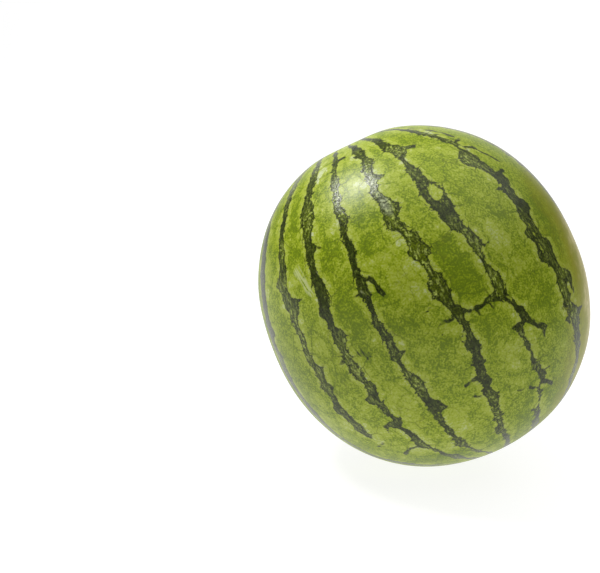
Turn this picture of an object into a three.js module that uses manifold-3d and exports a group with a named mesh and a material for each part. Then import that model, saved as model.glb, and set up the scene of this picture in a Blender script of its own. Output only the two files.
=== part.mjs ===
// A round icebox watermelon, picked and laid down: one closed solid, in millimetres, +Z up.
// The rind is a squarish spheroid about the fruit's own axis, which runs from the stem end to the
// blossom end. Both ends dip in, with the corky scar of the stem in the deeper dip. The fruit lies
// leaning over, on the small flat spot that its own weight presses into the rind.
// The origin is at the middle of the bounding box's bottom, on the flat spot's plane.
import * as THREE from 'three';
import { mergeVertices } from 'three/addons/utils/BufferGeometryUtils.js';
import Module from 'manifold-3d';

const wasm = await Module();
wasm.setup();

// Driving dimensions, in millimetres.
const WAIST_RADIUS = 102;      // the rind's radius at the equator
const END_RADIUS = 108.5;      // from the centre to either end, before the ends dip in
const SQUARENESS = 2.15;       // 2 is an ellipse, and more fills out the shoulders
const FLAT_DEPTH = 2.4;        // how far the resting spot cuts into the round form

// Small departures from a spheroid, in millimetres.
const BLOSSOM_FULLNESS = 1.1;  // the blossom half is a little fuller than the stem half
const OVAL_SWELL = 0.5;        // the waist is slightly oval
const LOBE_SWELL = 0.45;       // three faint lobes, one for each carpel
const END_SLIP = -1.4;         // how far the ends slide sideways, in opposite ways

// The dips and scars at the two ends, in millimetres along and across the rind.
const STEM_END = { dipDepth: 3.6, dipReach: 17, scarRadius: 9.5, scarHeight: 0.9 };
const BLOSSOM_END = { dipDepth: 2.2, dipReach: 13, scarRadius: 4.5, scarHeight: 0.5 };

// How the fruit lies, in degrees.
const SPIN = -90;              // turns the fruit's zero meridian to face -Y
const LEAN = 26;               // from standing on its blossom end
const LEAN_HEADING = 165;      // which way the stem end leans, counted from +X towards +Y

// The grid: rings around the axis, closer together on the scars.
const SEGMENTS = 84;
const CAP_ANGLE = 14;          // degrees from an end where the close rings stop
const CAP_RINGS = 9;
const BODY_STEP = 4;           // degrees between the rings of the body

const radians = THREE.MathUtils.degToRad;

/** Height over the round form near one end, at an arc length from that end's point. */
function endRelief(arc, { dipDepth, dipReach, scarRadius, scarHeight }) {
  const dip = dipDepth * Math.exp(-((arc / dipReach) ** 2));
  const edge = 1 - THREE.MathUtils.smoothstep(arc, scarRadius - 1.5, scarRadius + 1);
  const hollowTop = 0.35 + 0.65 * Math.min(arc / scarRadius, 1) ** 2;
  return scarHeight * hollowTop * edge - dip;
}

/** Distance of the rind from the centre, at an angle from the stem end and a longitude. */
function rindRadius(polar, longitude) {
  const across = Math.sin(polar);
  const along = Math.cos(polar);
  const power = (across / WAIST_RADIUS) ** SQUARENESS + (Math.abs(along) / END_RADIUS) ** SQUARENESS;
  const round = power ** (-1 / SQUARENESS);
  const belly = across ** 2;
  const swell = OVAL_SWELL * Math.cos(2 * longitude + 0.6) * belly
    + LOBE_SWELL * Math.cos(3 * longitude + 1.1) * belly * across
    - BLOSSOM_FULLNESS * along * belly;
  return round + swell
    + endRelief(polar * END_RADIUS, STEM_END)
    + endRelief((Math.PI - polar) * END_RADIUS, BLOSSOM_END);
}

/** The rings' angles from the stem end: close on both ends, even between them. */
function ringAngles() {
  const cap = Array.from({ length: CAP_RINGS }, (_, i) => (CAP_ANGLE * i) / CAP_RINGS);
  const bodyRings = Math.round((180 - 2 * CAP_ANGLE) / BODY_STEP);
  const body = Array.from({ length: bodyRings + 1 }, (_, i) => CAP_ANGLE + (i * (180 - 2 * CAP_ANGLE)) / bodyRings);
  const farCap = cap.map((angle) => 180 - angle).reverse();
  return [...cap, ...body, ...farCap].map(radians);
}

/** The whole rind before it is set down: a sphere's rings, moved out to the rind's radius. */
function rindGeometry() {
  const profile = ringAngles().reverse().map((polar) => new THREE.Vector2(Math.sin(polar), Math.cos(polar)));
  profile[0].x = 0;
  profile[profile.length - 1].x = 0;
  const geometry = new THREE.LatheGeometry(profile, SEGMENTS).rotateX(Math.PI / 2);
  const position = geometry.attributes.position;
  const point = new THREE.Vector3();
  for (let i = 0; i < position.count; i += 1) {
    point.fromBufferAttribute(position, i);
    const polar = Math.acos(THREE.MathUtils.clamp(point.z, -1, 1));
    point.multiplyScalar(rindRadius(polar, Math.atan2(point.y, point.x)));
    point.y += (END_SLIP * point.z) / END_RADIUS;
    position.setXYZ(i, point.x, point.y, point.z);
  }
  return geometry;
}

/** Turns the fruit from standing on its blossom end to how it lies. */
function layDown(geometry) {
  const heading = radians(LEAN_HEADING);
  const hingeLine = new THREE.Vector3(-Math.sin(heading), Math.cos(heading), 0);
  geometry.rotateZ(radians(SPIN));
  geometry.applyMatrix4(new THREE.Matrix4().makeRotationAxis(hingeLine, radians(LEAN)));
  return geometry;
}

/** A closed geometry as a solid, with its shared corners merged. */
function toSolid(geometry) {
  const bare = geometry.clone();
  bare.deleteAttribute('normal');
  bare.deleteAttribute('uv');
  const merged = mergeVertices(bare, 1e-4);
  return new wasm.Manifold(new wasm.Mesh({
    numProp: 3,
    vertProperties: new Float32Array(merged.attributes.position.array),
    triVerts: new Uint32Array(merged.index.array),
  }));
}

/** A solid back as a geometry. */
function toGeometry(solid) {
  const mesh = solid.getMesh();
  const geometry = new THREE.BufferGeometry();
  geometry.setAttribute('position', new THREE.BufferAttribute(mesh.vertProperties, 3));
  geometry.setIndex(new THREE.BufferAttribute(mesh.triVerts, 1));
  geometry.computeVertexNormals();
  return geometry;
}

/** Cuts the flat resting spot and puts the origin at the middle of the box's bottom. */
function settle(geometry) {
  geometry.computeBoundingBox();
  const floor = geometry.boundingBox.min.z + FLAT_DEPTH;
  const slabSide = 4 * END_RADIUS;
  const slab = new THREE.BoxGeometry(slabSide, slabSide, slabSide).translate(0, 0, floor - slabSide / 2);
  const cut = toGeometry(toSolid(geometry).subtract(toSolid(slab)));
  cut.computeBoundingBox();
  const { min, max } = cut.boundingBox;
  return cut.translate(-(min.x + max.x) / 2, -(min.y + max.y) / 2, -min.z);
}

const waxyRind = new THREE.MeshStandardMaterial({ color: '#7d9a32', roughness: 0.38, metalness: 0 });

const watermelon = new THREE.Mesh(settle(layDown(rindGeometry())), waxyRind);
watermelon.name = 'watermelon';

const model = new THREE.Group();
model.add(watermelon);

export default model;
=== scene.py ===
# %% [markdown]
# # A round icebox watermelon
#
# The fruit is one piece: a waxy rind that closes over both ends, with a corky scar where the stem
# came off and a small scar at the blossom end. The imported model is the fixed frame, and the rind
# made here stands for its one solid, in the same place and at the same size, in metres.

# %% Load the frame
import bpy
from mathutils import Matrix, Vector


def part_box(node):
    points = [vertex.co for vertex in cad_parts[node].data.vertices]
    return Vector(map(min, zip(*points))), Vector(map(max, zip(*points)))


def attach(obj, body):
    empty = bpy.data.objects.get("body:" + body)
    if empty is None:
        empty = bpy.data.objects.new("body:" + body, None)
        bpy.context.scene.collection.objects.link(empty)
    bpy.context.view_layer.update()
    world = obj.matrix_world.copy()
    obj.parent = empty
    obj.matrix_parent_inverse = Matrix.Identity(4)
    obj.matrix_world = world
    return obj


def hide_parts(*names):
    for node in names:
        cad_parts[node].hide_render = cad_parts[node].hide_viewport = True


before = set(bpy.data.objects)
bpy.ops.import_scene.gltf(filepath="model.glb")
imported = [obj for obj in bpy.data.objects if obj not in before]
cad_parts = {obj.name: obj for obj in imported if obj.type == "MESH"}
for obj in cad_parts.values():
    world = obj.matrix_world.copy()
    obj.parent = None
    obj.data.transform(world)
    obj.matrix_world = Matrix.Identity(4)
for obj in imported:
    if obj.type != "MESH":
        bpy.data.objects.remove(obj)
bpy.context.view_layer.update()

# %% Libraries and units
from math import cos, pi, radians, sin, sqrt

import bpy
import numpy as np
from mathutils import Matrix, Vector

MM = 0.001            # one millimetre in metres
rng = np.random.default_rng(1807)


def smoothstep(value, low, high):
    """0 below low, 1 above high, and between them 3t^2 - 2t^3 of the way t."""
    t = np.clip((value - low) / (high - low), 0.0, 1.0)
    return t * t * (3 - 2 * t)


print("Blender", bpy.app.version_string)

# %% [markdown]
# ## The rind's form
#
# A melon swells evenly round its own axis, so a subdivided sphere pulled about by hand could make
# it, but a formula is easier to keep true to size. A direction from the centre is given by its
# angle from the stem end and its longitude. The rind's distance that way is a superellipse, which
# is an ellipse with fuller shoulders, plus a faint oval, three faint lobes (one for each carpel)
# and a dip at either end. All these lengths are in millimetres.

# %% The form's dimensions and formula
WAIST_RADIUS = 102.0
END_RADIUS = 108.5
SQUARENESS = 2.15           # 2 would be a plain ellipse
BLOSSOM_FULLNESS = 1.1      # added to the blossom half, and taken from the stem half
OVAL_SWELL = 0.5
OVAL_TURN = 0.6             # radians
LOBE_SWELL = 0.45
LOBE_TURN = 1.1             # radians
END_SLIP = -1.4             # how far sideways the stem end is set, and the blossom end the other way
SKIN_INSET = 0.1            # keeps the fine rind just inside the coarser solid's box
SCAR_EDGE = (-1.5, 1.0)     # from the scar's radius: where its top stops and where its foot does
SCAR_MIDDLE = 0.35          # height of the scar's middle, as a share of its top's
STEM_END = {"dip_depth": 3.6, "dip_reach": 17.0, "scar_radius": 9.5, "scar_height": 0.9}
BLOSSOM_END = {"dip_depth": 2.2, "dip_reach": 13.0, "scar_radius": 4.5, "scar_height": 0.5}


def end_relief(arc, dip_depth, dip_reach, scar_radius, scar_height):
    """A raised scar, lower in its middle, in a bell-shaped dip, at an arc length from the end."""
    edge = 1 - smoothstep(arc, scar_radius + SCAR_EDGE[0], scar_radius + SCAR_EDGE[1])
    top = SCAR_MIDDLE + (1 - SCAR_MIDDLE) * np.minimum(arc / scar_radius, 1) ** 2
    return scar_height * top * edge - dip_depth * np.exp(-((arc / dip_reach) ** 2))


def rind_radius(polar, longitude):
    """Superellipse radius, plus cosine swells of the belly, plus the relief of both ends."""
    across, along = np.sin(polar), np.cos(polar)
    power = (across / WAIST_RADIUS) ** SQUARENESS + (np.abs(along) / END_RADIUS) ** SQUARENESS
    belly = across ** 2
    swell = (OVAL_SWELL * np.cos(2 * longitude + OVAL_TURN) * belly
             + LOBE_SWELL * np.cos(3 * longitude + LOBE_TURN) * belly * across
             - BLOSSOM_FULLNESS * along * belly)
    return (power ** (-1 / SQUARENESS) + swell
            + end_relief(polar * END_RADIUS, **STEM_END)
            + end_relief((pi - polar) * END_RADIUS, **BLOSSOM_END))


print("radius in mm at the stem and the waist:", rind_radius(np.array([0.0, pi / 2]), 0.0).round(1))

# %% [markdown]
# ## The grid
#
# The surface is a grid of rings round the axis, with one vertex at each end to close it. The rings
# lie closer together over the two scars, which have the finest shape, and about 1.4 mm apart over
# the rest. The columns crowd towards the front, where the markings are finest: each angle is moved
# forward by a share of its own sine. The whole rind stays under the limit on triangles.

# %% Rings and columns
COLUMNS = 400
FRONT_CROWDING = 0.45
RING_RUNS = ((0.4, 12.0, 24), (12.8, 170.0, 202), (170.5, 179.5, 14))   # degrees, degrees, rings

ring_angles = np.radians(np.concatenate([np.linspace(*run) for run in RING_RUNS]))
even_angles = np.linspace(-pi, pi, COLUMNS, endpoint=False)
column_angles = even_angles - FRONT_CROWDING * np.sin(even_angles)
polar = np.concatenate([[0.0], np.repeat(ring_angles, COLUMNS), [pi]])
longitude = np.concatenate([[0.0], np.tile(column_angles, len(ring_angles)), [0.0]])
latitude = 90 - np.degrees(polar)
east = np.degrees(longitude)
print("rings", len(ring_angles), "vertices", len(polar))

# %% [markdown]
# A perfectly smooth form looks cast. A real rind has faint swellings a few centimetres across, and
# cork that dried in cracks and rings. Both are worked out from waves: the swellings from a sum of
# waves in random directions through the fruit, the cracks and rings from waves round the scar and
# outwards from it, which waver so that none is quite straight or round.

# %% Fine relief
SWELL_HEIGHT = 0.45                 # mm, and it only ever goes inwards
SWELL_WAVES = 14
SWELL_LENGTHS = (32.0, 80.0)        # mm from crest to crest
CORK_EDGE = (-1.2, 0.4)             # mm from the scar's radius: where the cork starts to fade, and is gone
CORK_MIDDLE = (0.8, 3.0)            # mm from the scar's middle: where the cork starts, and is full
CORK_CRACKS = 9
CORK_CRACK_DEPTH = 0.35             # mm
CORK_CRACK_POWER = 0.35             # under 1, it narrows the cracks
CORK_CRACK_WAVER = 0.9
CORK_WAVER_RATE = 0.8               # radians to a millimetre outwards
CORK_RING_SPACING = 2.1             # mm
CORK_RING_HEIGHT = 0.14             # mm
CORK_RING_WAVER = 0.8
CORK_RING_CORNERS = 3
BLOSSOM_CORK_SHARE = 0.5            # the small scar's cork is that much shallower


def direction(polar, longitude):
    """The unit vector at an angle from the stem end and a longitude."""
    across = np.sin(polar)
    return np.stack([across * np.cos(longitude), across * np.sin(longitude), np.cos(polar)], -1)


def random_swell(outward, lengths):
    """The sum of sine waves with random directions, lengths and starts, squeezed into 0 to 1."""
    total = np.zeros(len(outward))
    for _ in range(SWELL_WAVES):
        heading = rng.normal(size=3)
        heading /= np.linalg.norm(heading)
        length = rng.uniform(*lengths)
        total += np.sin(outward @ heading * WAIST_RADIUS * 2 * pi / length + rng.uniform(0, 2 * pi))
    return 0.5 + 0.5 * np.tanh(total / sqrt(SWELL_WAVES))


def cork_relief(arc, longitude, scar_radius):
    """Radial cracks and growth rings that fade out at the scar's edge and in its middle."""
    inside = 1 - smoothstep(arc, scar_radius + CORK_EDGE[0], scar_radius + CORK_EDGE[1])
    off_centre = smoothstep(arc, *CORK_MIDDLE)
    crack_wave = np.sin(CORK_CRACKS / 2 * longitude + CORK_CRACK_WAVER * np.sin(arc * CORK_WAVER_RATE))
    cracks = np.abs(crack_wave) ** CORK_CRACK_POWER
    ring_waver = CORK_RING_WAVER * np.sin(CORK_RING_CORNERS * longitude)
    rings = np.sin(arc * 2 * pi / CORK_RING_SPACING + ring_waver)
    return inside * off_centre * (CORK_RING_HEIGHT * rings - CORK_CRACK_DEPTH * (1 - cracks))


stem_arc = polar * END_RADIUS
blossom_arc = (pi - polar) * END_RADIUS
outward = direction(polar, longitude)
radius = (rind_radius(polar, longitude) - SKIN_INSET - SWELL_HEIGHT * random_swell(outward, SWELL_LENGTHS)
          + cork_relief(stem_arc, longitude, STEM_END["scar_radius"])
          + BLOSSOM_CORK_SHARE * cork_relief(blossom_arc, longitude, BLOSSOM_END["scar_radius"]))
points = radius[:, None] * outward
points[:, 1] += END_SLIP * points[:, 2] / END_RADIUS
print("radius from", radius.min().round(1), "to", radius.max().round(1), "mm")

# %% [markdown]
# ## How it lies
#
# The fruit leans over from standing on its blossom end until its weight is over a side of the rind.
# The same two turns as in the solid put its zero meridian towards the viewer and its stem end up
# and to the left. Then it is moved into the solid's box, and what would go through the table is
# pressed flat, which is the spot that it rests on.

# %% Lay the points down
SPIN = -90.0          # degrees
LEAN = 26.0
LEAN_HEADING = 165.0

lean_heading = radians(LEAN_HEADING)
hinge_line = Vector((-sin(lean_heading), cos(lean_heading), 0))
turn = Matrix.Rotation(radians(LEAN), 3, hinge_line) @ Matrix.Rotation(radians(SPIN), 3, "Z")
stem_axis = turn @ Vector((0, 0, 1))
points = points @ np.array(turn).T * MM

box_low, box_high = (np.array(corner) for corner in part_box("watermelon"))
middle = (points.min(0) + points.max(0)) / 2
points[:, :2] += ((box_low + box_high) / 2 - middle)[:2]
points[:, 2] += box_high[2] - points[:, 2].max() - SKIN_INSET * MM
resting = points[:, 2] < box_low[2]
points[resting, 2] = box_low[2]
print("vertices pressed flat:", int(resting.sum()))

# %% [markdown]
# Two neighbours on a ring and the two next to them on the following ring make a quad, and a fan of
# triangles closes each end. Every face is listed so that it points outwards.

# %% Join the points into the rind
first = 1 + np.arange(len(ring_angles))[:, None] * COLUMNS + np.arange(COLUMNS)
after = np.roll(first, -1, axis=1)
quads = np.stack([first[:-1], first[1:], after[1:], after[:-1]], -1).reshape(-1, 4)
stem_fan = np.stack([np.zeros(COLUMNS, int), first[0], after[0]], -1)
blossom_fan = np.stack([np.full(COLUMNS, len(points) - 1), after[-1], first[-1]], -1)

rind_mesh = bpy.data.meshes.new("rind")
rind_mesh.from_pydata(points.tolist(), [], stem_fan.tolist() + quads.tolist() + blossom_fan.tolist())
rind_mesh.polygons.foreach_set("use_smooth", [True] * len(rind_mesh.polygons))
rind_mesh.update()
rind = bpy.data.objects.new("watermelon_rind", rind_mesh)
bpy.context.scene.collection.objects.link(rind)
print("faces", len(rind_mesh.polygons), "triangles", 2 * len(quads) + 2 * COLUMNS)

# %% [markdown]
# ## The stripes
#
# Stripes grow over the bundles of veins that run from end to end, and they are the fruit's most
# telling mark. Painting a picture on it would fix them at one resolution. Instead, each stripe is an
# outline on the fruit's own globe: at some latitudes, the longitudes of its west and east edge, in
# degrees, listed one by one. Each vertex is then given how deep inside the dark it lies, in
# millimetres, and the material turns that into a sharp edge with lobes and threads of its own. The
# seven stripes in front come first, from west to east.

# %% Outlines of the stripes in front: latitude, west edge, east edge
FRONT_STRIPES = (
    ((84, -92, -70), (62, -88, -74), (55, -80, -68), (50, -73.5, -64.5), (45, -70, -61.5),
     (40, -68.5, -60.3), (35, -68.5, -61), (30, -68.7, -60.7), (25, -68, -61.2), (20, -68, -61.4),
     (14, -68.3, -61.8), (10.5, -68, -59.6), (8, -68.3, -63), (5, -68.5, -63.5), (1.5, -68.2, -61.3),
     (-4, -70.5, -63), (-10, -68.6, -63.6), (-15, -68.6, -63), (-20, -69, -61.8), (-26, -68, -61.8),
     (-31, -66.5, -62), (-36, -64.5, -60.5), (-42, -63.5, -58.7), (-48, -61, -54.5), (-55, -54, -45),
     (-60, -48, -40), (-66, -39, -32), (-82, -34, -20)),
    ((84, -64, -44), (74, -69, -56), (68, -66, -55), (65, -63, -51), (62, -58, -48.5), (60, -55.4, -47.3),
     (57, -52.6, -46.5), (55, -51.2, -45.7), (52, -49.5, -44.5), (50, -48.2, -44), (47, -47.6, -43.2),
     (44, -48.4, -43.9), (41, -47.5, -44), (37.5, -46.8, -43.4), (35.5, -47, -41.8), (33, -46.8, -42.6),
     (30, -47.2, -42), (28, -48.4, -42.3), (25.3, -50.6, -43), (23, -47.6, -42.6), (20, -47.3, -41),
     (18.6, -47, -38.4), (17, -46.8, -38.8), (15, -44.8, -39.2), (12.5, -44.4, -41), (10, -44, -41.3),
     (8, -44, -40.6), (5, -44.3, -41), (1, -44.8, -41.8), (-3, -44.3, -40.5), (-5, -43.7, -38.2),
     (-7, -43.7, -39.4), (-10, -44, -40.2), (-11.6, -46, -39), (-13, -44, -40.4), (-15, -42.9, -40.8),
     (-17, -43.4, -40.7), (-19.5, -46, -40.7), (-22, -44.6, -40.7), (-25, -44.3, -40.7),
     (-28, -43.7, -38.7), (-31, -44, -39.4), (-33, -43, -39.7), (-35, -41.7, -40.6)),
    ((84, -44, -24), (75, -48, -40), (70, -39.5, -31.8), (67, -35.7, -28), (62, -32.9, -25.7),
     (57, -32, -26.2), (52, -32, -27.3), (50, -32.6, -26.5), (47, -33.2, -25.1), (45, -32.6, -24.8),
     (42, -32.3, -25.1), (40, -31.5, -25.4), (37, -31, -26), (34, -30.6, -26), (32.3, -30.4, -23.8),
     (30.5, -30.3, -26.2), (27, -30.1, -26.5), (22, -30.1, -25.7), (20, -29.8, -24.8), (17, -29.8, -24.6),
     (14, -30.1, -25.2), (11.5, -30.4, -25.9), (9, -29.3, -26), (6, -29, -26), (3.2, -29, -23.2),
     (1, -29.3, -24.6), (-1, -28.7, -25.4), (-3.5, -28.4, -25.4), (-5, -30, -25.1), (-7, -28.2, -24.3),
     (-10, -28.7, -24), (-12, -28.2, -24), (-14, -26.8, -23.7), (-15.7, -26.5, -22), (-18, -27.6, -23.2),
     (-20, -29.5, -23.5), (-21.5, -28.7, -23.7), (-22.8, -26.2, -23.7), (-27, -25.4, -23.5),
     (-29.5, -25.1, -22.3), (-31.5, -28, -23), (-33, -26.8, -23.7), (-35.5, -25.2, -21.7),
     (-40, -25.4, -20.9), (-43, -26.6, -20.9), (-45.5, -26.6, -20.7), (-47, -22.9, -20.4),
     (-50, -21.9, -19.2), (-53, -21, -18.8), (-55.5, -20.4, -16.4), (-58, -20.2, -15.4),
     (-62, -18.4, -14.4), (-70, -17, -11), (-82, -14, -4)),
    ((84, -23, -8), (75, -21.5, -17.5), (70, -16.4, -12.7), (65, -14.6, -10.2), (62, -14.6, -11.3),
     (57.5, -14, -11.3), (55, -14.6, -9.9), (52, -15.6, -10.4), (50, -14, -10.2), (43, -14, -10.5),
     (40, -14, -9.3), (38.3, -13.9, -8.4), (36, -13.8, -9.9), (33, -13.5, -10.7), (30, -13.1, -10.4),
     (27.5, -13, -9.4), (25, -13, -10.2), (21.5, -13, -10.8), (19, -13.4, -10.7), (16.5, -13.7, -9.9),
     (14.2, -13.8, -9.9), (12.8, -14.8, -10.2), (11, -13, -11), (8, -13, -11.3), (3, -13.3, -11),
     (0, -13, -10.7), (-2, -12.7, -9.6), (-6, -12.7, -9.4), (-8.8, -12.6, -8.8), (-11, -12.4, -10.2),
     (-14.5, -12, -9.9), (-16, -11.8, -9), (-18, -11.8, -7.1), (-20.5, -11.7, -6.6), (-22.5, -11.3, -6.9),
     (-25, -11, -7.4), (-27.5, -10.7, -6.8), (-29.5, -10.3, -5.2), (-31.5, -10.2, -5), (-32.7, -10.2, -8),
     (-38, -10.3, -7.7), (-42, -10.2, -7.3), (-47, -10, -6.6), (-50, -10.6, -6.2), (-52, -8.8, -6),
     (-55, -7.4, -4.9), (-58, -6.6, -3.5), (-61, -5.2, -2.4), (-66, -2, 1.5), (-82, 0, 10)),
    ((84, -2, 14), (75, -3, 2.6), (72, -1, 5.4), (70, 0.8, 8.7), (67, 1.2, 9.6), (65, 1, 10),
     (62.6, 0.2, 10.9), (61, 2.5, 10), (58, 5.7, 10.2), (56, 4.3, 11.3), (53, 3.2, 9.6), (50, 3.2, 8.5),
     (47.6, 3.5, 11.4), (45.5, 3.2, 7.6), (42, 1.8, 6.8), (40, 2.6, 6.8), (37, 3.8, 9.6), (35.5, 4, 11.8),
     (34, 4.3, 10.7), (32, 3.5, 8.6), (30, 2.9, 8.5), (28.5, 2.7, 8.8), (27, 5, 9.3), (25, 6.4, 9.9),
     (23.5, 6.8, 12.2), (22, 6.8, 11.8), (20, 6.5, 12), (18, 6.2, 13.1), (16, 6, 12.3), (14.8, 7.6, 11.5),
     (13, 8.4, 11), (11, 8.6, 11.3), (9.5, 8.4, 12.6), (8, 7.6, 12.9), (6, 6.3, 13.4), (4, 7, 13.4),
     (2, 7.6, 13.2), (0, 9.6, 12.9), (-2, 10.1, 13.2), (-4, 10.1, 14.4), (-6.5, 11.1, 14), (-9, 11.8, 14),
     (-11.5, 11.8, 14.3), (-13, 10.9, 14.6), (-15, 10.1, 15.1), (-17, 10.9, 15.4), (-19, 11.1, 14.6),
     (-22, 10.4, 14), (-24.5, 9.8, 13.4), (-27, 9.2, 13.2), (-29, 10.4, 14), (-31, 10.1, 12.9),
     (-33, 8.8, 13.4), (-34.7, 9.8, 14.8), (-36.5, 10.4, 15.3), (-38.5, 10.9, 14.8), (-42, 11, 14.5),
     (-47, 11, 14.5), (-50.5, 9.9, 14.3), (-52.5, 10.4, 14.3), (-55, 12, 15.7), (-58, 12.9, 16.8),
     (-61, 13.7, 17.9), (-66, 15.4, 19.8), (-82, 18, 30)),
    ((84, 20, 38), (75, 16.4, 24), (70, 19.3, 25.7), (67, 19.6, 26.3), (62, 20, 27), (59.5, 20, 27.8),
     (58, 19.4, 29.4), (55.5, 21.4, 30.5), (53.5, 22, 30), (52, 22.3, 27), (50, 22.2, 25.5),
     (47, 21.8, 25.8), (43.3, 21.4, 26.9), (41, 21, 25.8), (39, 20.8, 26.4), (37, 20.3, 27.4),
     (35, 19.9, 28.9), (30, 20.3, 28.4), (27, 21.3, 28.5), (24, 22, 28), (20.5, 22.6, 27.7),
     (18.5, 24.3, 28.6), (16.5, 25.2, 29.8), (14, 25.4, 30.1), (12, 25.7, 30.6), (10, 26, 28.6),
     (6, 26.2, 28.2), (3, 26.2, 29.5), (0.5, 26.2, 30.9), (-2.5, 26, 30.6), (-4.3, 24.7, 29.9),
     (-6.5, 27.3, 29.8), (-8, 28.4, 30.6), (-10, 29.7, 32), (-12, 30.4, 34.8), (-13.7, 31.2, 34.4),
     (-15.7, 30.9, 34.2), (-17, 28.5, 32), (-18.5, 28.7, 31), (-21, 29.5, 31.2), (-23.5, 30.3, 32),
     (-28, 31.3, 32.6), (-31, 31.5, 33.2), (-33, 32.3, 34.5), (-35, 33.4, 36.4), (-36.5, 34.2, 38),
     (-38.5, 34.4, 37.6), (-40.5, 32.6, 38.2), (-42, 33, 36.6), (-44, 33.4, 35.6), (-48, 34, 35.6),
     (-50.5, 32.3, 36), (-52.5, 32.6, 36.6), (-55, 34.2, 38.7), (-61, 36, 41.4), (-68, 42, 49),
     (-82, 50, 62)),
    ((84, 46, 66), (75, 49, 57), (67, 49.5, 54.8), (62, 49.2, 55.3), (60, 48.4, 54.2), (57, 49, 54),
     (54, 50.4, 55.3), (50, 52, 55.8), (48, 52, 56.2), (46, 52.2, 56.8), (44, 51, 57.5), (42, 47.4, 55.4),
     (40, 45.3, 54.8), (38.4, 44.9, 54.8), (37, 46.2, 54.8), (35.5, 48.7, 54.8), (33, 50.6, 54.8),
     (31, 51.2, 55.6), (29.5, 51.7, 57.8), (28.3, 52, 58.8), (26.5, 52, 57.5), (25, 50.6, 56.4),
     (23, 51, 56), (20, 51.2, 55.6), (18.5, 51.2, 56.7), (17, 50.9, 57.8), (15, 49.6, 57.4),
     (13.5, 49.9, 55.9), (10.5, 49.6, 54.8), (8.5, 47, 54.8), (7, 47.8, 54.8), (5, 49.2, 55),
     (2.7, 49.2, 58.2), (1, 48.4, 57.8), (-1, 48, 57), (-2.6, 48.8, 57), (-3.6, 51.4, 57.1),
     (-7, 52.8, 57.3), (-8.5, 53, 60.3), (-10, 52, 62.8), (-11.7, 51.7, 63.2), (-13.2, 52.3, 61.4),
     (-15, 53, 61.6), (-16.7, 52.6, 58.4), (-18.3, 51.6, 57), (-20, 52.2, 59.4), (-22, 54, 62.6),
     (-23.3, 54.6, 64.4), (-25, 55, 62), (-28, 56.7, 61.7), (-32, 57.2, 62.4), (-36, 58.2, 63.4),
     (-41, 60.5, 64.5), (-46, 58, 64), (-52, 61, 66), (-60, 64, 70), (-68, 70, 77), (-82, 84, 96)),
)
print("stripes in front", len(FRONT_STRIPES), "outline points", sum(map(len, FRONT_STRIPES)))

# %% [markdown]
# Where lobes of the light rind press on a stripe from both sides, the dark between two lobes is
# squeezed out into a spur, and some spurs run on as a link, a fork or a hairline. Those are short
# strokes between two points, each with a half-width in millimetres at either end. A half-width of
# zero or less still shows in spots, where the fine edge reaches out. Light islands inside the dark
# are ovals, with a height and width in millimetres.

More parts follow.
